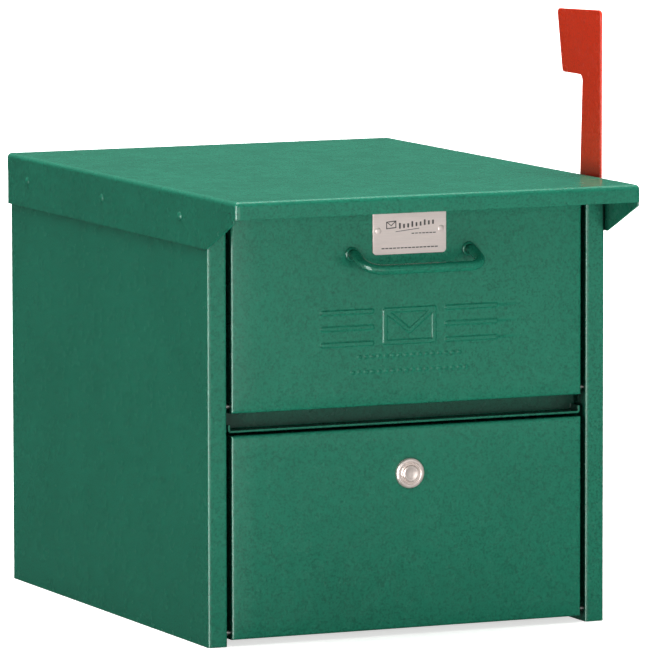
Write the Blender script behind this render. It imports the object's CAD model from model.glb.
"""Locking mail drop box: a pull-down deposit door, a locked collection door and a signal flag."""
import math

import bmesh
import bpy
import numpy as np
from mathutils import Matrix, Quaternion, Vector


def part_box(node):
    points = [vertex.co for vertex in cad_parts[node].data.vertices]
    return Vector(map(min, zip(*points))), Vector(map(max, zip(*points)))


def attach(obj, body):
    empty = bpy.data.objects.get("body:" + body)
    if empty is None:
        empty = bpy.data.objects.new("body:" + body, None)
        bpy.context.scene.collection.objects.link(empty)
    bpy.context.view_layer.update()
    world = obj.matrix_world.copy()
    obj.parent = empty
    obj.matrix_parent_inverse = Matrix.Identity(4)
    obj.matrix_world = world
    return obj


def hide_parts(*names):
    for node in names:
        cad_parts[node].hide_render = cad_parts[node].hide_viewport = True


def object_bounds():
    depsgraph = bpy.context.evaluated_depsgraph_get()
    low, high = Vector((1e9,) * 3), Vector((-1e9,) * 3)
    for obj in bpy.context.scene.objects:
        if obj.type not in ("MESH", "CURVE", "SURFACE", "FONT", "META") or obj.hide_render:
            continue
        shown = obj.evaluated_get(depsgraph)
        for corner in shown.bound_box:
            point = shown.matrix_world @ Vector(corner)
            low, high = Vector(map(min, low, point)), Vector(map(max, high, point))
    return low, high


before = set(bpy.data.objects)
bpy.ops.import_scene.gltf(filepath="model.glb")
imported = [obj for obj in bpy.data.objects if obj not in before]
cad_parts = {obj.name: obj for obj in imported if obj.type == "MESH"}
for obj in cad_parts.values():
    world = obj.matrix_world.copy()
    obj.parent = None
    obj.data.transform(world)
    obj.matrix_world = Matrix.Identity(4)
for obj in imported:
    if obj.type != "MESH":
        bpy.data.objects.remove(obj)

bl_info = {
    "name": "Locking mail drop box",
    "version": (1, 0, 0),
    "blender": (4, 5, 0),
    "location": "3D View > Sidebar > Drop box",
    "description": "Sheet-steel mail drop box with two doors, a cam lock and a signal flag",
    "category": "Object",
}

MM = 0.001
CAD_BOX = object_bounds()
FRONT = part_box("lower_door")[0].y
SMALLEST_AREA = 1e-12

# how far the fine mesh reaches sideways, down and up from the emblem's centre
EMBLEM_FIELD = (78 * MM, 40 * MM, 17 * MM)
# dashes in each row under the emblem, and how far the row lies below its centre
DASH_ROWS = ((16, 23.5 * MM), (18, 35.5 * MM))

LENS_MM = 406.87
SENSOR_MM = 36.0
CAMERA_PLACE = Vector((-2.4079, -5.4618, 0.8988))
CAMERA_TARGET = Vector((-0.07217, -0.20871, 0.2509))
CAMERA_ROLL = math.radians(-0.116)


def linear(code):
    """Linear RGB for a colour written as sRGB hex"""
    parts = [int(code[i:i + 2], 16) / 255 for i in (0, 2, 4)]
    return [c / 12.92 if c <= 0.04045 else ((c + 0.055) / 1.055) ** 2.4 for c in parts]


def length_setting(name, description, millimetres):
    """A length that a user can change, shown in the scene's units"""
    return bpy.props.FloatProperty(
        name=name, description=description, default=millimetres * MM, min=0.0,
        precision=5, subtype="DISTANCE", unit="LENGTH")


def colour_setting(name, description, code):
    """A colour that a user can change"""
    return bpy.props.FloatVectorProperty(
        name=name, description=description, default=linear(code), size=3, min=0.0, max=1.0,
        subtype="COLOR")


# ---- Settings ------------------------------------------------------------


class FinishSettings(bpy.types.PropertyGroup):
    """Colours of the paints and metals, and the grain of the paint"""

    green: colour_setting("Green paint", "Powder coat of the body, hood and doors", "1C755C")
    red: colour_setting("Red paint", "Powder coat of the signal flag", "FF3610")
    peel: length_setting("Orange peel", "Width of one dimple in the powder coat", 2.0)
    aluminium: colour_setting("Aluminium", "Name plate and its rivets", "E9DAD5")
    chrome: colour_setting("Plated zinc", "Face of the lock", "EADCD4")
    zinc: colour_setting("Zinc plate", "Screws, nuts, clips and hidden rivets", "B9BDC0")
    steel: colour_setting("Stainless steel", "Hinge pins and flag bolt", "C6C4C0")
    nylon: colour_setting("Black nylon", "Catch, bushing and washer", "1B1C1E")
    ferrite: colour_setting("Ferrite", "Magnet of the catch", "3A3A3D")


class DoorSettings(bpy.types.PropertyGroup):
    """Folded edges of both doors and the emblem pressed into the upper one"""

    sheet: length_setting("Sheet", "Thickness of the steel", 1.6)
    bend: length_setting("Bend", "Outside radius of the folded edges", 2.4)
    grid: length_setting("Grid", "Spacing of the mesh lines across the emblem", 0.5)
    rise: length_setting("Emblem rise", "How far the emblem stands off the face", 0.8)
    line: length_setting("Emblem line", "Width of a pressed line", 3.4)
    flank: length_setting("Emblem flank", "Width of the slope beside a pressed line", 0.9)
    emblem_x: length_setting("Emblem offset", "Emblem centre right of the door's middle", 1.0)
    emblem_z: length_setting("Emblem height", "Emblem centre above the door's bottom edge", 63.0)
    envelope_w: length_setting("Envelope width", "Width of the pressed envelope", 46.0)
    envelope_h: length_setting("Envelope height", "Height of the pressed envelope", 29.0)
    bar: length_setting("Bar length", "Length of the bars beside the envelope", 46.0)
    bar_gap: length_setting("Bar gap", "Gap between the envelope and the bars", 8.0)
    dash_pitch: length_setting("Dash pitch", "Spacing of the small dashes", 5.8)
    dash_h: length_setting("Dash height", "Height of the small dashes", 3.2)


class HandleSettings(bpy.types.PropertyGroup):
    """Bent bar of the pull handle"""

    bar: length_setting("Bar", "Diameter of the bar", 8.0)
    centres: length_setting("Centres", "Spacing of the handle's feet", 101.6)
    foot: length_setting("Foot", "Straight run that leaves the door", 7.0)
    knuckle: length_setting("Knuckle bend", "Radius of the bar where it leaves the door", 9.0)
    corner: length_setting("Corner bend", "Radius of the bar at the grip's corners", 14.0)
    collar: length_setting("Collar", "Diameter of the pressed collar at a foot", 11.5)


class FlagSettings(bpy.types.PropertyGroup):
    """Outline of the signal flag"""

    foot: length_setting("Foot width", "Width of the arm at its pivot", 39.6)
    neck: length_setting("Neck width", "Width of the arm under the head", 32.5)
    head: length_setting("Head width", "Width of the head at its lower edge", 69.5)
    neck_z: length_setting("Neck drop", "Lower edge of the head below the flag's top", 53.9)
    slope: length_setting("Top slope", "Fall of the top edge towards the back", 3.0)
    corner: length_setting("Corner", "Radius of the head's corners", 3.6)
    notch: length_setting("Notch", "Radius between the arm and the head", 5.0)
    edge: length_setting("Edge", "Rounding of the painted edges", 0.5)


class LockSettings(bpy.types.PropertyGroup):
    """Face and barrel of the cam lock"""

    face: length_setting("Face", "Diameter of the lock's face", 24.0)
    proud: length_setting("Face height", "How far the face stands off the door", 3.2)
    barrel: length_setting("Barrel", "Diameter of the threaded barrel", 19.0)
    length: length_setting("Barrel length", "Length of the barrel behind the door's face", 21.0)
    plug: length_setting("Plug", "Diameter of the turning plug", 13.0)
    thread: length_setting("Thread", "Pitch of the barrel's thread", 1.25)
    keyway_w: length_setting("Keyway width", "Width of the key slot", 2.2)
    keyway_h: length_setting("Keyway height", "Height of the key slot", 8.4)


class PlateSettings(bpy.types.PropertyGroup):
    """Blank name plate with a plain printed pattern"""

    corner: length_setting("Corner", "Radius of the plate's corners", 3.0)
    edge: length_setting("Edge", "Rounding of the plate's edges", 0.3)
    ink: length_setting("Ink", "Thickness of the printed marks", 0.05)
    rivet: length_setting("Rivet head", "Diameter of the rivets' heads", 5.2)


class StageSettings(bpy.types.PropertyGroup):
    """Floor, lights and background"""

    floor: colour_setting("Floor", "Colour of the studio floor", "F6F6F5")
    sky: colour_setting("Background", "Colour that the camera sees above the floor", "FFFFFF")
    bounce: bpy.props.FloatProperty(
        name="Bounce", description="Share of the floor's light that reaches the box",
        default=0.5, min=0.0, max=1.0, subtype="FACTOR")
    glow: bpy.props.FloatProperty(
        name="Floor glow", description="Light that the floor sends to the camera by itself",
        default=0.7, min=0.0)
    key: bpy.props.FloatProperty(
        name="Overhead light", description="Strength of the broad overhead light",
        default=4.9, min=0.0)
    strip: bpy.props.FloatProperty(
        name="Strip light", description="Power of the tall strip light at the left",
        default=55.0, min=0.0, subtype="POWER", unit="POWER")
    card: bpy.props.FloatProperty(
        name="Card", description="Power of the low card at the right that the metals mirror",
        default=0.35, min=0.0, subtype="POWER", unit="POWER")
    fill: bpy.props.FloatProperty(
        name="Front light", description="Power of the broad light in front",
        default=26.0, min=0.0, subtype="POWER", unit="POWER")
    ambient: bpy.props.FloatProperty(
        name="Ambient", description="Strength of the light from all round",
        default=0.1, min=0.0)


SETTINGS = {
    "dropbox_finish": FinishSettings,
    "dropbox_door": DoorSettings,
    "dropbox_handle": HandleSettings,
    "dropbox_flag": FlagSettings,
    "dropbox_lock": LockSettings,
    "dropbox_plate": PlateSettings,
    "dropbox_stage": StageSettings,
}


# ---- Materials -----------------------------------------------------------


def add_node(tree, kind, inputs=None, **settings):
    """Adds a shader node, sets its properties, and sets or links its inputs"""
    made = tree.nodes.new(kind)
    for key, value in settings.items():
        setattr(made, key, value)
    for key, value in (inputs or {}).items():
        if isinstance(value, bpy.types.NodeSocket):
            tree.links.new(value, made.inputs[key])
        else:
            made.inputs[key].default_value = value
    return made


def blank_material(name):
    """An empty material and its node tree"""
    material = bpy.data.materials.new(name)
    material.use_nodes = True
    tree = material.node_tree
    tree.nodes.clear()
    return material, tree


def object_place(tree):
    """Coordinates in metres that move with the piece"""
    return add_node(tree, "ShaderNodeTexCoord").outputs["Object"]


def grain(tree, place, width, detail=2.0):
    """Noise whose patches are about one width across"""
    made = add_node(tree, "ShaderNodeTexNoise",
                    {"Vector": place, "Scale": 1 / width, "Detail": detail})
    return made.outputs["Fac"]


def spread(tree, value, low, high, to_low, to_high):
    """Maps a value from one range to another, clamped"""
    made = add_node(tree, "ShaderNodeMapRange",
                    {"Value": value, "From Min": low, "From Max": high,
                     "To Min": to_low, "To Max": to_high})
    return made.outputs["Result"]


def blend_colours(tree, factor, first, second):
    """Mixes two colours or colour sockets"""
    made = add_node(tree, "ShaderNodeMix", {0: factor, 6: first, 7: second}, data_type="RGBA")
    return made.outputs[2]


def tinted(colour, gain):
    """A colour made lighter or darker, as RGBA"""
    return [min(1.0, c * gain) for c in colour] + [1.0]


def edge_softening(tree, reach):
    """A normal rounded at edges, and a mask that is 1 on them"""
    soft = add_node(tree, "ShaderNodeBevel", {"Radius": reach}, samples=6).outputs["Normal"]
    flat = add_node(tree, "ShaderNodeNewGeometry").outputs["Normal"]
    match = add_node(tree, "ShaderNodeVectorMath", {0: soft, 1: flat}, operation="DOT_PRODUCT")
    return soft, spread(tree, match.outputs["Value"], 0.98, 0.75, 0.0, 1.0)


def finish_material(tree, **inputs):
    """Adds the surface shader and the output"""
    named = {key.replace("_", " "): value for key, value in inputs.items()}
    shader = add_node(tree, "ShaderNodeBsdfPrincipled", named)
    add_node(tree, "ShaderNodeOutputMaterial", {"Surface": shader.outputs["BSDF"]})


def powder_coat(name, colour, peel):
    """Polyester powder baked on steel: semi-gloss, with orange peel that mottles reflections"""
    material, tree = blank_material(name)
    place = object_place(tree)
    soft, edge = edge_softening(tree, 0.7 * MM)
    # slow changes in film thickness make one panel a shade deeper here and there
    cloud = grain(tree, place, 90 * MM)
    body = blend_colours(tree, spread(tree, cloud, 0.3, 0.7, 0.0, 1.0),
                         tinted(colour, 0.93), tinted(colour, 1.07))
    # pigment grain is finer than this in the real film, and drawn as coarse as it needs to show
    speck = grain(tree, place, 0.8 * peel, 3.0)
    body = blend_colours(tree, spread(tree, speck, 0.35, 0.65, 0.0, 0.5), body,
                         tinted(colour, 1.5))
    body = blend_colours(tree, spread(tree, speck, 0.3, 0.5, 0.4, 0.0), body,
                         tinted(colour, 0.4))
    # dust and thin film make narrow gaps and folds darker than their shade alone
    open_air = add_node(tree, "ShaderNodeAmbientOcclusion", {"Distance": 24 * MM}, samples=8)
    body = blend_colours(tree, spread(tree, open_air.outputs["AO"], 0.35, 0.85, 0.9, 0.0), body,
                         tinted(colour, 0.05))
    # paint thins out and rubs pale along folded and cut edges
    rub = add_node(tree, "ShaderNodeMath", {0: edge, 1: grain(tree, place, 6 * MM, 4.0)},
                   operation="MULTIPLY").outputs["Value"]
    body = blend_colours(tree, spread(tree, rub, 0.2, 0.7, 0.0, 0.35), body, tinted(colour, 2.4))
    dimple = grain(tree, place, peel, 2.0)
    bumped = add_node(tree, "ShaderNodeBump",
                      {"Height": dimple, "Distance": 0.09 * MM, "Strength": 0.9,
                       "Normal": soft}).outputs["Normal"]
    finish_material(
        tree, Base_Color=body, Normal=bumped, IOR=1.37,
        Roughness=spread(tree, grain(tree, place, 14 * MM, 3.0), 0.3, 0.7, 0.22, 0.3))
    return material


def brushed_aluminium(name, colour):
    """Rolled aluminium brushed lengthwise: fine level scratches under a pale satin oxide"""
    material, tree = blank_material(name)
    place = object_place(tree)
    # scratches are 0.05 mm apart, and drawn at 0.25 mm
    stretched = add_node(tree, "ShaderNodeMapping", {"Vector": place, "Scale": (0.02, 1.0, 1.0)})
    scratch = grain(tree, stretched.outputs["Vector"], 0.25 * MM, 3.0)
    soft, edge = edge_softening(tree, 0.4 * MM)
    tone = blend_colours(tree, spread(tree, scratch, 0.3, 0.7, 0.0, 1.0),
                         tinted(colour, 0.94), tinted(colour, 1.05))
    tone = blend_colours(tree, edge, tone, tinted(colour, 1.25))
    bumped = add_node(tree, "ShaderNodeBump",
                      {"Height": scratch, "Distance": 0.01 * MM, "Normal": soft})
    finish_material(tree, Base_Color=tone, Metallic=0.35, Normal=bumped.outputs["Normal"],
                    Roughness=spread(tree, scratch, 0.3, 0.7, 0.5, 0.62))
    return material


def turned_plate(name, colour, axis):
    """Die-cast zinc turned and plated: faint rings round its axis under a satin plate"""
    material, tree = blank_material(name)
    place = object_place(tree)
    centred = add_node(tree, "ShaderNodeVectorMath", {0: place, 1: axis},
                       operation="SUBTRACT").outputs["Vector"]
    level = add_node(tree, "ShaderNodeVectorMath", {0: centred, 1: (1.0, 0.0, 1.0)},
                     operation="MULTIPLY").outputs["Vector"]
    radius = add_node(tree, "ShaderNodeVectorMath", {0: level}, operation="LENGTH")
    ringed = add_node(tree, "ShaderNodeCombineXYZ", {"X": radius.outputs["Value"]})
    # tool marks are 0.1 mm apart, and drawn at 0.4 mm
    ring = grain(tree, ringed.outputs["Vector"], 0.4 * MM, 2.0)
    soft, edge = edge_softening(tree, 0.3 * MM)
    tone = blend_colours(tree, spread(tree, ring, 0.3, 0.7, 0.0, 1.0),
                         tinted(colour, 0.86), tinted(colour, 1.08))
    tone = blend_colours(tree, spread(tree, edge, 0.0, 1.0, 0.0, 0.6), tone, tinted(colour, 1.3))
    bumped = add_node(tree, "ShaderNodeBump",
                      {"Height": ring, "Distance": 0.02 * MM, "Normal": soft})
    finish_material(tree, Base_Color=tone, Metallic=0.5, Normal=bumped.outputs["Normal"],
                    Roughness=spread(tree, grain(tree, place, 2 * MM), 0.3, 0.7, 0.28, 0.4))
    return material


def mottled_metal(name, colour, patch, rough):
    """Plated or turned steel: cloudy patches of tone, duller in the hollows and bright on edges"""
    material, tree = blank_material(name)
    place = object_place(tree)
    soft, edge = edge_softening(tree, 0.35 * MM)
    cloud = grain(tree, place, patch, 4.0)
    tone = blend_colours(tree, spread(tree, cloud, 0.3, 0.7, 0.0, 1.0),
                         tinted(colour, 0.8), tinted(colour, 1.1))
    tone = blend_colours(tree, spread(tree, edge, 0.0, 1.0, 0.0, 0.5), tone, tinted(colour, 1.3))
    bumped = add_node(tree, "ShaderNodeBump",
                      {"Height": grain(tree, place, 0.5 * MM), "Distance": 0.01 * MM,
                       "Normal": soft})
    finish_material(tree, Base_Color=tone, Metallic=1.0, Normal=bumped.outputs["Normal"],
                    Roughness=spread(tree, cloud, 0.3, 0.7, rough - 0.06, rough + 0.1))
    return material


def moulded_nylon(name, colour):
    """Nylon moulded in a spark-eroded tool: an even matt grain, paler where it is handled"""
    material, tree = blank_material(name)
    place = object_place(tree)
    soft, edge = edge_softening(tree, 0.5 * MM)
    erosion = grain(tree, place, 0.6 * MM, 3.0)
    tone = blend_colours(tree, spread(tree, erosion, 0.3, 0.7, 0.0, 1.0),
                         tinted(colour, 0.8), tinted(colour, 1.3))
    tone = blend_colours(tree, spread(tree, edge, 0.0, 1.0, 0.0, 0.5), tone, tinted(colour, 2.2))
    bumped = add_node(tree, "ShaderNodeBump",
                      {"Height": erosion, "Distance": 0.03 * MM, "Normal": soft})
    finish_material(tree, Base_Color=tone, IOR=1.53, Normal=bumped.outputs["Normal"],
                    Roughness=spread(tree, grain(tree, place, 8 * MM), 0.3, 0.7, 0.5, 0.62))
    return material


def ground_ferrite(name, colour):
    """Pressed ferrite ground flat: dark ceramic grains under straight grinding marks"""
    material, tree = blank_material(name)
    place = object_place(tree)
    soft, edge = edge_softening(tree, 0.3 * MM)
    stretched = add_node(tree, "ShaderNodeMapping", {"Vector": place, "Scale": (0.05, 1.0, 1.0)})
    marks = grain(tree, stretched.outputs["Vector"], 0.4 * MM, 3.0)
    crystal = grain(tree, place, 0.9 * MM, 4.0)
    tone = blend_colours(tree, spread(tree, crystal, 0.3, 0.7, 0.0, 1.0),
                         tinted(colour, 0.7), tinted(colour, 1.4))
    tone = blend_colours(tree, spread(tree, edge, 0.0, 1.0, 0.0, 0.5), tone, tinted(colour, 2.0))
    bumped = add_node(tree, "ShaderNodeBump",
                      {"Height": marks, "Distance": 0.02 * MM, "Normal": soft})
    finish_material(tree, Base_Color=tone, IOR=2.2, Normal=bumped.outputs["Normal"],
                    Roughness=spread(tree, marks, 0.3, 0.7, 0.4, 0.55))
    return material


def printed_enamel(name):
    """Stoved black ink on metal: flat, slightly glossy, and thin enough to break up at its rims"""
    material, tree = blank_material(name)
    place = object_place(tree)
    patch = grain(tree, place, 0.7 * MM, 3.0)
    tone = blend_colours(tree, spread(tree, patch, 0.35, 0.65, 0.0, 1.0),
                         linear("3A3634") + [1.0], linear("5E5855") + [1.0])
    finish_material(tree, Base_Color=tone, IOR=1.5,
                    Roughness=spread(tree, patch, 0.3, 0.7, 0.35, 0.5))
    return material


def studio_paper(name, colour, bounce, glow):
    """Matt background paper: pale and even, with a barely seen mottle and a light of its own"""
    material, tree = blank_material(name)
    place = object_place(tree)
    mottle = grain(tree, place, 400 * MM, 2.0)
    tone = blend_colours(tree, mottle, tinted(colour, 0.99), tinted(colour, 1.0))
    # black boards off the set keep the paper from throwing its full light back at the box
    eye = add_node(tree, "ShaderNodeLightPath").outputs["Is Camera Ray"]
    tone = blend_colours(tree, eye, tinted(colour, bounce), tone)
    finish_material(tree, Base_Color=tone, Roughness=0.95, Specular_IOR_Level=0.0,
                    Emission_Color=tinted(colour, 1.0),
                    Emission_Strength=spread(tree, eye, 0.0, 1.0, 0.0, glow))
    return material


def finish_for(slot):
    """The material of one of the record's slots, made the first time that it is wanted"""
    look = bpy.context.scene.dropbox_finish
    lock_lo, lock_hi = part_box("lock_body")
    axis = ((lock_lo.x + lock_hi.x) / 2, 0.0, (lock_lo.z + lock_hi.z) / 2)
    finishes = {
        "green_powder_coat": ("green_polyester_powder", powder_coat, look.green, look.peel),
        "red_powder_coat": ("red_polyester_powder", powder_coat, look.red, look.peel),
        "satin_aluminium": ("brushed_aluminium", brushed_aluminium, look.aluminium),
        "chrome_plate": ("turned_plated_zinc", turned_plate, look.chrome, axis),
        "zinc_plate": ("zinc_plated_steel", mottled_metal, look.zinc, 3 * MM, 0.36),
        "stainless_steel": ("turned_stainless_steel", mottled_metal, look.steel, 1.5 * MM, 0.24),
        "black_nylon": ("moulded_nylon", moulded_nylon, look.nylon),
        "ferrite_magnet": ("ground_ferrite", ground_ferrite, look.ferrite),
    }
    name, make, *facts = finishes[slot]
    return bpy.data.materials.get(name) or make(name, *facts)


# ---- Shapes --------------------------------------------------------------


def arc(centre, first, second, turn, steps):
    """Points round centre, from first towards second through an angle"""
    return [centre + first * math.cos(turn * k / steps) + second * math.sin(turn * k / steps)
            for k in range(steps + 1)]


def round_corner(before, corner, after, radius, steps=8):
    """Points that round one corner between two straight runs"""
    u = (corner - before).normalized()
    v = (after - corner).normalized()
    turn = u.angle(v)
    reach = radius * math.tan(turn / 2)
    side = (v - u * v.dot(u)).normalized()
    centre = corner - u * reach + side * radius
    return arc(centre, -side * radius, u * radius, turn, steps)


def round_loop(points, radii, steps=8):
    """A closed outline with each corner rounded to its radius"""
    count = len(points)
    loop = []
    for i, radius in enumerate(radii):
        before, corner, after = points[i - 1], points[i], points[(i + 1) % count]
        loop += round_corner(before, corner, after, radius, steps) if radius else [corner]
    return loop


def slab(loop, depth):
    """Vertices and faces of a flat plate: a closed outline moved through depth"""
    # known fault: the faces point inwards when depth runs against the outline's own normal
    count = len(loop)
    vertices = list(loop) + [p + depth for p in loop]
    faces = [list(range(count))[::-1], list(range(count, 2 * count))]
    for i in range(count):
        j = (i + 1) % count
        faces.append([i, j, count + j, count + i])
    return vertices, faces


def block(lo, hi):
    """Vertices and faces of a box from its lowest to its highest corner"""
    loop = [Vector((lo.x, lo.y, lo.z)), Vector((hi.x, lo.y, lo.z)),
            Vector((hi.x, lo.y, hi.z)), Vector((lo.x, lo.y, hi.z))]
    return slab(loop, Vector((0.0, hi.y - lo.y, 0.0)))


def lathe(profile, centre, steps=96):
    """Turned shape: radius and depth pairs swept round the Y axis through centre"""
    # known fault: the faces point inwards when the profile runs from front to rear
    vertices, rings, faces = [], [], []
    for radius, depth in profile:
        turns = 1 if radius == 0 else steps
        rings.append(range(len(vertices), len(vertices) + turns))
        for k in range(turns):
            a = 2 * math.pi * k / steps
            offset = Vector((radius * math.cos(a), depth, radius * math.sin(a)))
            vertices.append(centre + offset)
    for one, two in zip(rings, rings[1:]):
        for k in range(steps):
            n = (k + 1) % steps
            quad = [one[k % len(one)], one[n % len(one)], two[n % len(two)], two[k % len(two)]]
            faces.append(list(dict.fromkeys(quad)))
    return vertices, faces


def tube(path, radius, steps=32):
    """Round bar along a path of points, closed by flat ends"""
    tangents = [(path[min(i + 1, len(path) - 1)] - path[max(i - 1, 0)]).normalized()
                for i in range(len(path))]
    side = tangents[0].orthogonal().normalized()
    vertices, faces = [], []
    for i, (point, ahead) in enumerate(zip(path, tangents)):
        side = (side - ahead * side.dot(ahead)).normalized()
        up = ahead.cross(side)
        vertices += arc(point, side * radius, up * radius, 2 * math.pi, steps)[:-1]
        if i:
            for k in range(steps):
                n = (k + 1) % steps
                low, high = (i - 1) * steps, i * steps
                faces.append([low + k, low + n, high + n, high + k])
    last = (len(path) - 1) * steps
    faces.append(list(range(steps))[::-1])
    faces.append(list(range(last, last + steps)))
    return vertices, faces


def joined(*shapes):
    """Several shapes as one list of vertices and one of faces"""
    vertices, faces = [], []
    for some_vertices, some_faces in shapes:
        start = len(vertices)
        vertices += list(some_vertices)
        faces += [[start + i for i in face] for face in some_faces]
    return vertices, faces


def make_mesh(name, shape):
    """A Blender mesh of a shape, smooth but for its sharp edges"""
    mesh = bpy.data.meshes.new(name)
    mesh.from_pydata([tuple(v) for v in shape[0]], [], shape[1])
    mesh.polygons.foreach_set("use_smooth", [True] * len(mesh.polygons))
    mesh.set_sharp_from_angle(angle=math.radians(38))
    mesh.update()
    return mesh


def make_piece(name, shape, body, slot, covers=()):
    """A piece of the drop box that rides on a body and stands for CAD nodes"""
    piece = bpy.data.objects.new(name, make_mesh(name, shape))
    bpy.context.scene.collection.objects.link(piece)
    piece.data.materials.append(finish_for(slot))
    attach(piece, body)
    if covers:
        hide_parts(*covers)
    return piece


def round_edges(piece, width, segments=2, angle=40):
    """Rounds a piece's sharp edges"""
    rounding = piece.modifiers.new("Rounded edges", "BEVEL")
    rounding.width = width
    rounding.segments = segments
    rounding.limit_method = "ANGLE"
    rounding.angle_limit = math.radians(angle)
    rounding.harden_normals = True
    rounding.miter_outer = "MITER_ARC"


def cut_out(piece, shape):
    """Cuts a shape out of a piece's mesh"""
    tool = bpy.data.objects.new("cutter", make_mesh("cutter", shape))
    bpy.context.scene.collection.objects.link(tool)
    cut = piece.modifiers.new("Cut", "BOOLEAN")
    cut.operation = "DIFFERENCE"
    cut.solver = "EXACT"
    cut.object = tool
    bpy.context.view_layer.update()
    solved = piece.evaluated_get(bpy.context.evaluated_depsgraph_get())
    mesh = bpy.data.meshes.new_from_object(solved)
    piece.modifiers.remove(cut)
    piece.data = mesh
    bpy.data.objects.remove(tool)


def paint_nodes(slot, *names):
    """Gives CAD nodes the finish of a slot"""
    for name in names:
        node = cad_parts[name]
        node.data.materials.clear()
        node.data.materials.append(finish_for(slot))


# ---- Doors ---------------------------------------------------------------


def folded_line(low, high, depth, bend, places, steps=6):
    """Places across a folded pan, from one returned edge to the other: (place, depth, on face)"""
    edge = [(low, depth, False)]
    for k in range(steps + 1):
        a = math.pi / 2 * k / steps
        edge.append((low + bend - bend * math.cos(a), bend - bend * math.sin(a), k == steps))
    face = [(p, 0.0, True) for p in places if low + bend < p < high - bend]
    other = [(low + high - p, d, on) for p, d, on in reversed(edge)]
    return edge + face + other


def stroke_field(x, z, strokes):
    """Distance from each point to the nearest of several straight strokes"""
    nearest = np.full(x.shape, 1.0)
    for (x0, z0), (x1, z1) in strokes:
        dx, dz = x1 - x0, z1 - z0
        along = ((x - x0) * dx + (z - z0) * dz) / (dx * dx + dz * dz)
        along = along.clip(0.0, 1.0)
        nearest = np.minimum(nearest, np.hypot(x - x0 - along * dx, z - z0 - along * dz))
    return nearest


def pressed(distance, half, flank, rise):
    """Height of sheet pressed up within half a line's width, with smooth flanks"""
    t = ((half + flank / 2 - distance) / flank).clip(0.0, 1.0)
    eased = t * t * (3 - 2 * t)
    return rise * (0.75 * t + 0.25 * eased)


def emblem_strokes(look):
    """Centre lines of the pressed envelope and bars, about the emblem's centre"""
    w = (look.envelope_w - look.line) / 2
    h = (look.envelope_h - look.line) / 2
    strokes = [((-w, -h), (w, -h)), ((w, -h), (w, h)), ((w, h), (-w, h)), ((-w, h), (-w, -h))]
    bar_x0 = look.envelope_w / 2 + look.bar_gap + look.line / 2
    bar_x1 = bar_x0 + look.bar - look.line
    for s in (-1, 1):
        strokes.append(((s * w, h), (0.0, -h / 3)))
        strokes += [((s * bar_x0, z), (s * bar_x1, z)) for z in (-h, 0.0, h)]
    return strokes


def dash_strokes(look):
    """Centre lines of two rows of small dashes under the emblem"""
    strokes = []
    reach = 0.35 * look.dash_pitch - look.dash_h / 2
    for count, drop in DASH_ROWS:
        for i in range(count):
            middle = (i - count / 2 + 0.5) * look.dash_pitch
            strokes.append(((middle - reach, -drop), (middle + reach, -drop)))
    return strokes


def emblem_height(look, x, z):
    """Height of the emblem and its dashes above the door's face"""
    bars = stroke_field(x, z, emblem_strokes(look))
    dashes = stroke_field(x, z, dash_strokes(look))
    dash_flank = 0.8 * look.flank
    return np.maximum(
        pressed(bars, look.line / 2, look.flank, look.rise),
        pressed(dashes, look.dash_h / 2 - dash_flank / 2, dash_flank, look.rise / 2))


def fine_places(low, high, start, stop, grid):
    """Coarse places from low to high, with a fine grid from start to stop"""
    coarse = np.linspace(low, high, 13)
    if stop <= start:
        return sorted(coarse)
    fine = np.arange(start, stop, grid)
    return sorted([c for c in coarse if c < start - grid or c > stop + grid] + list(fine))


def folded_pan(look, lo, hi, emblem=None):
    """Shape of one door's outer skin: its face, bends and returned edges"""
    reach_x, low_z, high_z = EMBLEM_FIELD if emblem else (0.0, 0.0, 0.0)
    cx, cz = emblem or (0.0, 0.0)
    across = folded_line(lo.x, hi.x, hi.y - FRONT, look.bend,
                         fine_places(lo.x, hi.x, cx - reach_x, cx + reach_x, look.grid))
    up = folded_line(lo.z, hi.z, hi.y - FRONT, look.bend,
                     fine_places(lo.z, hi.z, cz - low_z, cz + high_z, look.grid))
    x = np.array([p[0] for p in across])[:, None]
    z = np.array([p[0] for p in up])[None, :]
    deep = np.maximum(np.array([p[1] for p in across])[:, None],
                      np.array([p[1] for p in up])[None, :])
    x, z = np.broadcast_arrays(x, z)
    y = FRONT + deep
    if emblem:
        y = y - emblem_height(look, x - cx, z - cz)
    index = np.arange(x.size).reshape(x.shape)
    vertices = np.stack([x.ravel(), y.ravel(), z.ravel()], axis=1)
    corners = np.stack([index[:-1, :-1], index[1:, :-1], index[1:, 1:], index[:-1, 1:]], axis=-1)
    return vertices.tolist(), faces_with_area(vertices, corners.reshape(-1, 4)).tolist()


def faces_with_area(vertices, faces):
    """Leaves out the faces that lie folded flat where two returned edges meet"""
    a, b, c, d = (vertices[faces[:, k]] for k in range(4))
    area = np.linalg.norm(np.cross(c - a, d - b), axis=1)
    return faces[area > SMALLEST_AREA]


def weld_corners(mesh):
    """Joins the points that meet where two returned edges are welded"""
    work = bmesh.new()
    work.from_mesh(mesh)
    bmesh.ops.remove_doubles(work, verts=work.verts, dist=0.01 * MM)
    work.to_mesh(mesh)
    work.free()


def make_door(name, node, emblem=None):
    """One door: a pan folded from sheet, with soft cut edges"""
    look = bpy.context.scene.dropbox_door
    lo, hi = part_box(node)
    door = make_piece(name, folded_pan(look, lo, hi, emblem), node, "green_powder_coat", [node])
    weld_corners(door.data)
    skin = door.modifiers.new("Sheet thickness", "SOLIDIFY")
    skin.thickness = look.sheet
    skin.offset = -1.0
    skin.use_even_offset = True
    round_edges(door, 0.25 * MM, angle=60)
    return door


# ---- Operators -----------------------------------------------------------


class Step(bpy.types.Operator):
    """One stage of making the drop box"""

    bl_idname = "dropbox.step"
    bl_label = "Step"
    bl_options = {"REGISTER", "UNDO"}


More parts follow.
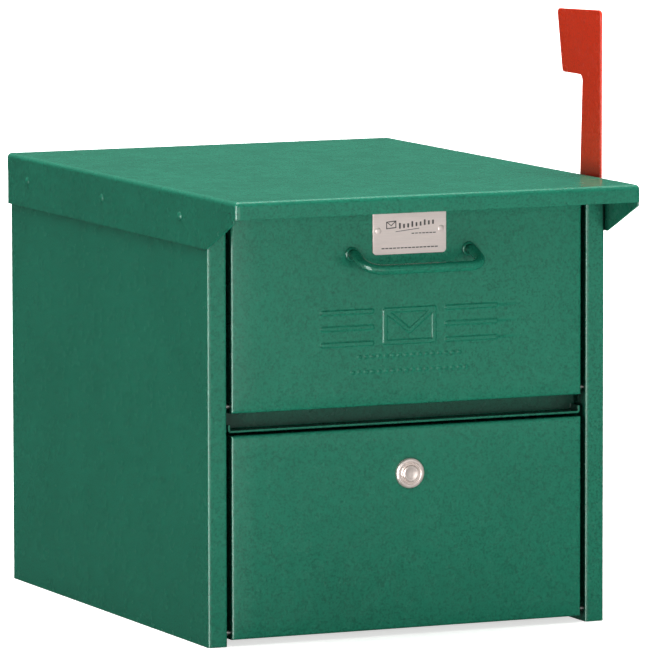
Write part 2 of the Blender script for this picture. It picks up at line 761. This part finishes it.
class PaintSheetMetal(Step):
    """Powder coat the body, hood, rails, shelf and baffle"""

    bl_idname = "dropbox.paint_sheet_metal"
    bl_label = "Paint sheet metal"

    def execute(self, context):
        paint_nodes("green_powder_coat", "left_side_panel", "right_side_panel", "back_panel",
                    "floor_panel", "hood", "header_rail", "divider_rail", "divider_shelf",
                    "security_baffle", "hood_rivets", "back_rivets")
        return {"FINISHED"}


class FitFasteners(Step):
    """Finish the rivets, screws, pins, clips and nuts"""

    bl_idname = "dropbox.fit_fasteners"
    bl_label = "Fit fasteners"

    def execute(self, context):
        paint_nodes("zinc_plate", "rail_rivets", "baffle_rivets", "pull_screws", "catch_screws",
                    "upper_pin_clips", "lower_pin_clips", "strike_plate", "lock_nut", "lock_cam",
                    "lock_cam_screw", "flag_spring_washer", "flag_nut")
        paint_nodes("stainless_steel", "upper_hinge_pins", "lower_hinge_pins", "flag_bolt")
        return {"FINISHED"}


class FitCatch(Step):
    """Finish the magnetic catch and the flag's nylon bushing and washer"""

    bl_idname = "dropbox.fit_catch"
    bl_label = "Fit catch and bushings"

    def execute(self, context):
        paint_nodes("black_nylon", "catch_housing", "flag_bushing", "flag_washer")
        paint_nodes("ferrite_magnet", "catch_magnet")
        return {"FINISHED"}


class PressDoors(Step):
    """Fold both doors and press the emblem into the upper one"""

    bl_idname = "dropbox.press_doors"
    bl_label = "Press doors"

    def execute(self, context):
        look = context.scene.dropbox_door
        lo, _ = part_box("upper_door")
        make_door("upper_door_pressing", "upper_door", (look.emblem_x, lo.z + look.emblem_z))
        make_door("lower_door_pressing", "lower_door")
        return {"FINISHED"}


class BendHandle(Step):
    """Bend the pull handle from round bar, with a collar at each foot"""

    bl_idname = "dropbox.bend_handle"
    bl_label = "Bend handle"

    def execute(self, context):
        look = context.scene.dropbox_handle
        lo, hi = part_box("pull_handle")
        screws_lo, screws_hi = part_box("pull_screws")
        radius = look.bar / 2
        middle = (lo.x + hi.x) / 2
        foot_z = (screws_lo.z + screws_hi.z) / 2
        out = lo.y + radius
        drop = lo.z + radius
        half = look.centres / 2
        route = [Vector((middle + s * half, y, z)) for s, y, z in (
            (-1, FRONT, foot_z), (-1, FRONT - look.foot, foot_z), (-1, out, drop),
            (1, out, drop), (1, FRONT - look.foot, foot_z), (1, FRONT, foot_z))]
        path = [route[0]]
        for i, bend in enumerate((look.knuckle, look.corner, look.corner, look.knuckle), 1):
            path += round_corner(route[i - 1], route[i], route[i + 1], bend, 12)
        path.append(route[-1])
        collar = look.collar / 2
        # radius and depth of the collar's turned outline
        rim = ((radius - 0.3 * MM, -1.6 * MM), (collar - 1.2 * MM, -1.4 * MM),
               (collar - 0.3 * MM, -0.8 * MM), (collar, 0.0), (radius - 0.3 * MM, 0.0))
        feet = [lathe(rim, route[i]) for i in (0, -1)]
        make_piece("pull_handle_bar", joined(tube(path, radius), *feet), "upper_door",
                   "green_powder_coat", ["pull_handle"])
        return {"FINISHED"}


class CutFlag(Step):
    """Cut the signal flag from plate, with rounded corners and painted edges"""

    bl_idname = "dropbox.cut_flag"
    bl_label = "Cut flag"

    def execute(self, context):
        look = context.scene.dropbox_flag
        lo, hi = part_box("flag")
        radius = look.foot / 2
        pivot_z = lo.z + radius
        neck_z = hi.z - look.neck_z
        corners = [(lo.y + look.foot, pivot_z, 0.0), (lo.y, pivot_z, 0.0),
                   (lo.y, hi.z, look.corner), (hi.y, hi.z - look.slope, look.corner),
                   (lo.y + look.head, neck_z, look.corner), (lo.y + look.neck, neck_z, look.notch)]
        points = [Vector((lo.x, y, z)) for y, z, _ in corners]
        loop = round_loop(points, [r for _, _, r in corners])
        foot = Vector((lo.x, lo.y + radius, pivot_z))
        under = arc(foot, Vector((0.0, radius, 0.0)), Vector((0.0, 0.0, -radius)), math.pi, 24)
        loop = [loop[0]] + under[1:-1] + loop[1:]
        flag = make_piece("signal_flag", slab(loop, Vector((hi.x - lo.x, 0.0, 0.0))), "flag",
                          "red_powder_coat", ["flag"])
        round_edges(flag, look.edge, 3)
        return {"FINISHED"}


class TurnLock(Step):
    """Turn the lock's face, threaded barrel and plug"""

    bl_idname = "dropbox.turn_lock"
    bl_label = "Turn lock"

    def execute(self, context):
        look = context.scene.dropbox_lock
        lo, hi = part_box("lock_body")
        centre = Vector(((lo.x + hi.x) / 2, FRONT, (lo.z + hi.z) / 2))
        self.turn_case(look, centre)
        self.turn_plug(look, centre)
        return {"FINISHED"}

    def turn_case(self, look, centre):
        """Face with a domed bezel and a groove, on a threaded barrel"""
        bore = look.plug / 2 + 0.05 * MM
        face = look.face / 2
        barrel = look.barrel / 2
        top = -look.proud
        # a lip round the bore and a groove outside it: millimetres out from the bore, and deep
        lip_and_groove = ((0.0, 0.5), (0.5, 0.1), (1.2, 0.1), (1.6, 0.7), (2.1, 0.7), (2.6, 0.05))
        profile = [(bore + out * MM, top + deep * MM) for out, deep in lip_and_groove]
        bezel = 1.6 * MM
        profile += [(face - bezel + bezel * math.sin(a), top + bezel * (1 - math.cos(a)))
                    for a in np.linspace(0.0, math.pi / 2, 7)]
        profile += [(face, 0.0), (barrel, 0.0)]
        root = barrel - 0.6 * MM
        turns = int(look.length / look.thread)
        for i in range(turns):
            start = look.length - (turns - i) * look.thread
            profile += [(barrel, start + 0.2 * look.thread), (root, start + 0.6 * look.thread)]
        profile += [(root, look.length), (bore, look.length), profile[0]]
        case = make_piece("lock_case", lathe(profile, centre), "lower_door", "chrome_plate",
                          ["lock_body"])
        round_edges(case, 0.12 * MM, angle=50)

    def turn_plug(self, look, centre):
        """Plug with a dished face and a square tail, meant to have a stepped keyway"""
        radius = look.plug / 2
        lo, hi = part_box("lock_plug")
        top = lo.y - centre.y
        rear = look.length + 0.2 * MM
        profile = [(0.0, top + 0.35 * MM), (radius - 2.6 * MM, top + 0.3 * MM),
                   (radius - 1.9 * MM, top), (radius - 0.6 * MM, top),
                   (radius, top + 0.6 * MM), (radius, rear), (0.0, rear)]
        plug = make_piece("lock_plug_turned", lathe(profile, centre), "lock_plug", "chrome_plate",
                          ["lock_plug"])
        w, h = look.keyway_w / 2, look.keyway_h / 2
        # the key's slot and a ward beside it. Known fault: a block's faces point inwards, so
        # these cuts leave the plug whole
        front = top - 1.0 * MM
        slots = [block(centre + Vector((-w, front, -h)), centre + Vector((w, 6 * MM, h))),
                 block(centre + Vector((-w - 0.9 * MM, front, -0.4 * h)),
                       centre + Vector((-w + 0.2 * MM, 5 * MM, 0.1 * h)))]
        for shape in slots:
            cut_out(plug, shape)
        half = 4 * MM
        tail = block(centre + Vector((-half, rear - 0.4 * MM, -half)),
                     centre + Vector((half, hi.y - centre.y, half)))
        square = make_piece("lock_plug_tail", tail, "lock_plug", "chrome_plate")
        round_edges(square, 0.5 * MM, 2)


class StampNamePlate(Step):
    """Blank the name plate, print its plain pattern and set its rivets"""

    bl_idname = "dropbox.stamp_name_plate"
    bl_label = "Stamp name plate"

    def execute(self, context):
        look = context.scene.dropbox_plate
        lo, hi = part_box("name_plate")
        corners = [Vector((x, lo.y, z)) for x, z in
                   ((lo.x, lo.z), (hi.x, lo.z), (hi.x, hi.z), (lo.x, hi.z))]
        loop = round_loop(corners, [look.corner] * 4)
        plate = make_piece("name_plate_blank", slab(loop, Vector((0.0, hi.y - lo.y, 0.0))),
                           "upper_door", "satin_aluminium", ["name_plate"])
        round_edges(plate, look.edge, 3)
        self.print_marks(look, lo, hi)
        self.set_rivets(look)
        return {"FINISHED"}

    def print_marks(self, look, lo, hi):
        """Plain envelope and ruled dashes, printed in dark ink"""
        middle = (lo.x + hi.x) / 2
        top = hi.z

        def mark(x0, z0, x1, z1, width):
            """One inked stroke between two places, in millimetres from the plate's top middle"""
            a = Vector((middle + x0 * MM, lo.y, top - z0 * MM))
            b = Vector((middle + x1 * MM, lo.y, top - z1 * MM))
            ahead = (b - a).normalized() * width * MM / 2
            side = Vector((-ahead.z, 0.0, ahead.x))
            corners = [a - ahead - side, b + ahead - side, b + ahead + side, a - ahead + side]
            loop = round_loop(corners, [0.3 * width * MM] * 4, 3)
            return slab(loop, Vector((0.0, -look.ink, 0.0)))

        # the envelope's corners and the point of its flap
        top_left, top_right = (-20, 12.3), (-12, 11.7)
        low_left, low_right = (-20, 17.5), (-12, 16.9)
        flap = (-16, 15.2)
        sides = ((low_left, low_right), (top_left, top_right),
                 (low_left, top_left), (low_right, top_right))
        marks = [mark(*a, *b, 0.8) for a, b in sides]
        marks += [mark(*top_left, *flap, 0.7), mark(*flap, *top_right, 0.7)]
        # short and tall bars on a line that climbs to the right
        bars, first, pitch, climb = 9, -8.5, 3.6, 0.09
        for i in range(bars):
            x = first + pitch * i
            foot = 16.4 - climb * x
            tall = 1.9 if i % 3 else 3.1
            marks.append(mark(x, foot - tall, x, foot, 1.5))
        marks.append(mark(-12, 20.2, 8, 18.2, 0.5))
        # rows of dashes: how many, first place, pitch, length, drop and width
        for count, start, step, long, down, wide in (
                (7, 2, 3.1, 1.7, 22.0, 0.8), (15, -24, 3.3, 1.8, 33.2, 0.9)):
            marks += [mark(start + step * i, down, start + step * i + long, down, wide)
                      for i in range(count)]
        ink = make_piece("name_plate_ink", joined(*marks), "upper_door", "satin_aluminium")
        ink.data.materials.clear()
        ink.data.materials.append(printed_enamel("printed_enamel"))

    def set_rivets(self, look):
        """Domed heads with a shallow rim where each was set"""
        lo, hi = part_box("name_plate_rivets")
        plate_lo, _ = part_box("name_plate")
        z = (lo.z + hi.z) / 2
        r = look.rivet / 2
        rise = plate_lo.y - lo.y
        dome = [(r * math.sin(a), -rise * math.cos(a)) for a in np.linspace(0.0, math.pi / 2, 9)]
        # the shank, and the flare of its set end inside the door
        shank, flare, rear = 1.4 * MM, 2.1 * MM, hi.y - plate_lo.y
        dome += [(shank, 0.0), (shank, rear - 1.2 * MM), (flare, rear - 1.0 * MM),
                 (flare - 0.1 * MM, rear), (0.0, rear)]
        heads = [lathe(dome, Vector((x, plate_lo.y, z)), 40) for x in (lo.x + r, hi.x - r)]
        make_piece("name_plate_rivet_pair", joined(*heads), "upper_door", "satin_aluminium",
                   ["name_plate_rivets"])


class SetStage(Step):
    """Lay the floor, hang the lights and place the camera"""

    bl_idname = "dropbox.set_stage"
    bl_label = "Set stage"

    def execute(self, context):
        look = context.scene.dropbox_stage
        context.scene.view_settings.view_transform = "Standard"
        self.lay_floor(context, look)
        self.hang_lights(context, look)
        self.light_world(context, look)
        self.place_camera(context)
        return {"FINISHED"}

    def lay_floor(self, context, look):
        """A wide sheet of pale paper under the box"""
        half_width = 40.0
        low = CAD_BOX[0].z - 0.2 * MM
        loop = [Vector((x * half_width, y * half_width, low))
                for x, y in ((-1, -1), (1, -1), (1, 1), (-1, 1))]
        paper = make_mesh("studio_floor", (loop, [[0, 1, 2, 3]]))
        floor = bpy.data.objects.new("studio_floor", paper)
        context.scene.collection.objects.link(floor)
        floor.data.materials.append(studio_paper("studio_paper", look.floor, look.bounce,
                                                   look.glow))
        # the sheen mirrors the dim air below instead of the paper
        floor.visible_glossy = False
        # and the paper doesn't darken the foot of the door that stands on it
        floor.visible_shadow = False

    def hang_lights(self, context, look):
        """A broad overhead light, a broad front light, and a strip and a card for the sheen"""
        middle = (CAD_BOX[0] + CAD_BOX[1]) / 2
        overhead = bpy.data.lights.new("overhead", "SUN")
        overhead.energy = look.key
        overhead.angle = math.radians(50)
        self.hang(context, overhead, Vector((0.0, 0.2, 1.0)), middle)
        self.hang_panel(context, "front_box", look.fill, middle,
                        size=(2.2, 1.2), turn=-10, reach=2.6, rise=0.0)
        # the strip lights by its reflection only: a line along upright bends and pressed flanks
        strip = self.hang_panel(context, "left_strip", look.strip, middle,
                                size=(0.7, 1.5), turn=-60, reach=1.4, rise=0.0)
        strip.visible_diffuse = False
        self.hang_panel(context, "right_card", look.card, middle,
                        size=(0.6, 0.3), turn=24, reach=1.3, rise=-0.1)

    def hang_panel(self, context, name, power, middle, size, turn, reach, rise):
        """A rectangular light, turned in degrees from the front, at a distance and a height"""
        panel = bpy.data.lights.new(name, "AREA")
        panel.shape = "RECTANGLE"
        panel.size, panel.size_y = size
        panel.energy = power
        a = math.radians(turn)
        offset = Vector((reach * math.sin(a), -reach * math.cos(a), rise))
        return self.hang(context, panel, offset, middle)

    def hang(self, context, data, offset, target):
        """Places one light off the target and turns it to face it"""
        lamp = bpy.data.objects.new(data.name, data)
        lamp.location = target + offset
        lamp.rotation_mode = "QUATERNION"
        lamp.rotation_quaternion = (-offset).to_track_quat("-Z", "Y")
        lamp.visible_camera = False
        context.scene.collection.objects.link(lamp)
        return lamp

    def light_world(self, context, look):
        """Dim light from all round, brighter above, behind a white background"""
        world = bpy.data.worlds.new("studio_air")
        world.use_nodes = True
        context.scene.world = world
        tree = world.node_tree
        tree.nodes.clear()
        aim = add_node(tree, "ShaderNodeTexCoord").outputs["Generated"]
        height = add_node(tree, "ShaderNodeSeparateXYZ", {"Vector": aim}).outputs["Z"]
        level = spread(tree, height, 0.2, 0.6, look.ambient, 5 * look.ambient)
        glow = add_node(tree, "ShaderNodeBackground", {"Strength": level})
        seen = add_node(tree, "ShaderNodeBackground", {"Color": list(look.sky) + [1.0]})
        eye = add_node(tree, "ShaderNodeLightPath").outputs["Is Camera Ray"]
        both = add_node(tree, "ShaderNodeMixShader",
                        {0: eye, 1: glow.outputs["Background"], 2: seen.outputs["Background"]})
        add_node(tree, "ShaderNodeOutputWorld", {"Surface": both.outputs["Shader"]})

    def place_camera(self, context):
        """A long lens a little above the box, to the left of its front"""
        data = bpy.data.cameras.new("camera")
        data.sensor_width = SENSOR_MM
        data.lens = LENS_MM
        data.clip_end = 100.0
        camera = bpy.data.objects.new("camera", data)
        turn = (CAMERA_TARGET - CAMERA_PLACE).to_track_quat("-Z", "Y")
        roll = Quaternion((0.0, 0.0, 1.0), CAMERA_ROLL)
        camera.location = CAMERA_PLACE
        camera.rotation_mode = "QUATERNION"
        camera.rotation_quaternion = turn @ roll
        context.scene.collection.objects.link(camera)
        context.scene.camera = camera


STEPS = (PaintSheetMetal, FitFasteners, FitCatch, PressDoors, BendHandle, CutFlag, TurnLock,
         StampNamePlate, SetStage)


class DropBoxPanel(bpy.types.Panel):
    """Buttons and settings for making the drop box"""

    bl_idname = "VIEW3D_PT_dropbox"
    bl_label = "Mail drop box"
    bl_space_type = "VIEW_3D"
    bl_region_type = "UI"
    bl_category = "Drop box"

    def draw(self, context):
        for step in STEPS:
            self.layout.operator(step.bl_idname)
        for key, group in SETTINGS.items():
            box = self.layout.box()
            for name in group.__annotations__:
                box.prop(getattr(context.scene, key), name)


def register():
    """Registers the settings, the steps and the panel"""
    for key, group in SETTINGS.items():
        bpy.utils.register_class(group)
        setattr(bpy.types.Scene, key, bpy.props.PointerProperty(type=group))
    for step in STEPS:
        bpy.utils.register_class(step)
    bpy.utils.register_class(DropBoxPanel)


def unregister():
    """Takes the panel, the steps and the settings away again"""
    bpy.utils.unregister_class(DropBoxPanel)
    for step in reversed(STEPS):
        bpy.utils.unregister_class(step)
    for key, group in reversed(SETTINGS.items()):
        delattr(bpy.types.Scene, key)
        bpy.utils.unregister_class(group)


def main():
    """Makes the drop box and its stage"""
    register()
    for step in STEPS:
        space, name = step.bl_idname.split(".")
        getattr(getattr(bpy.ops, space), name)()


if __name__ == "__main__":
    main()
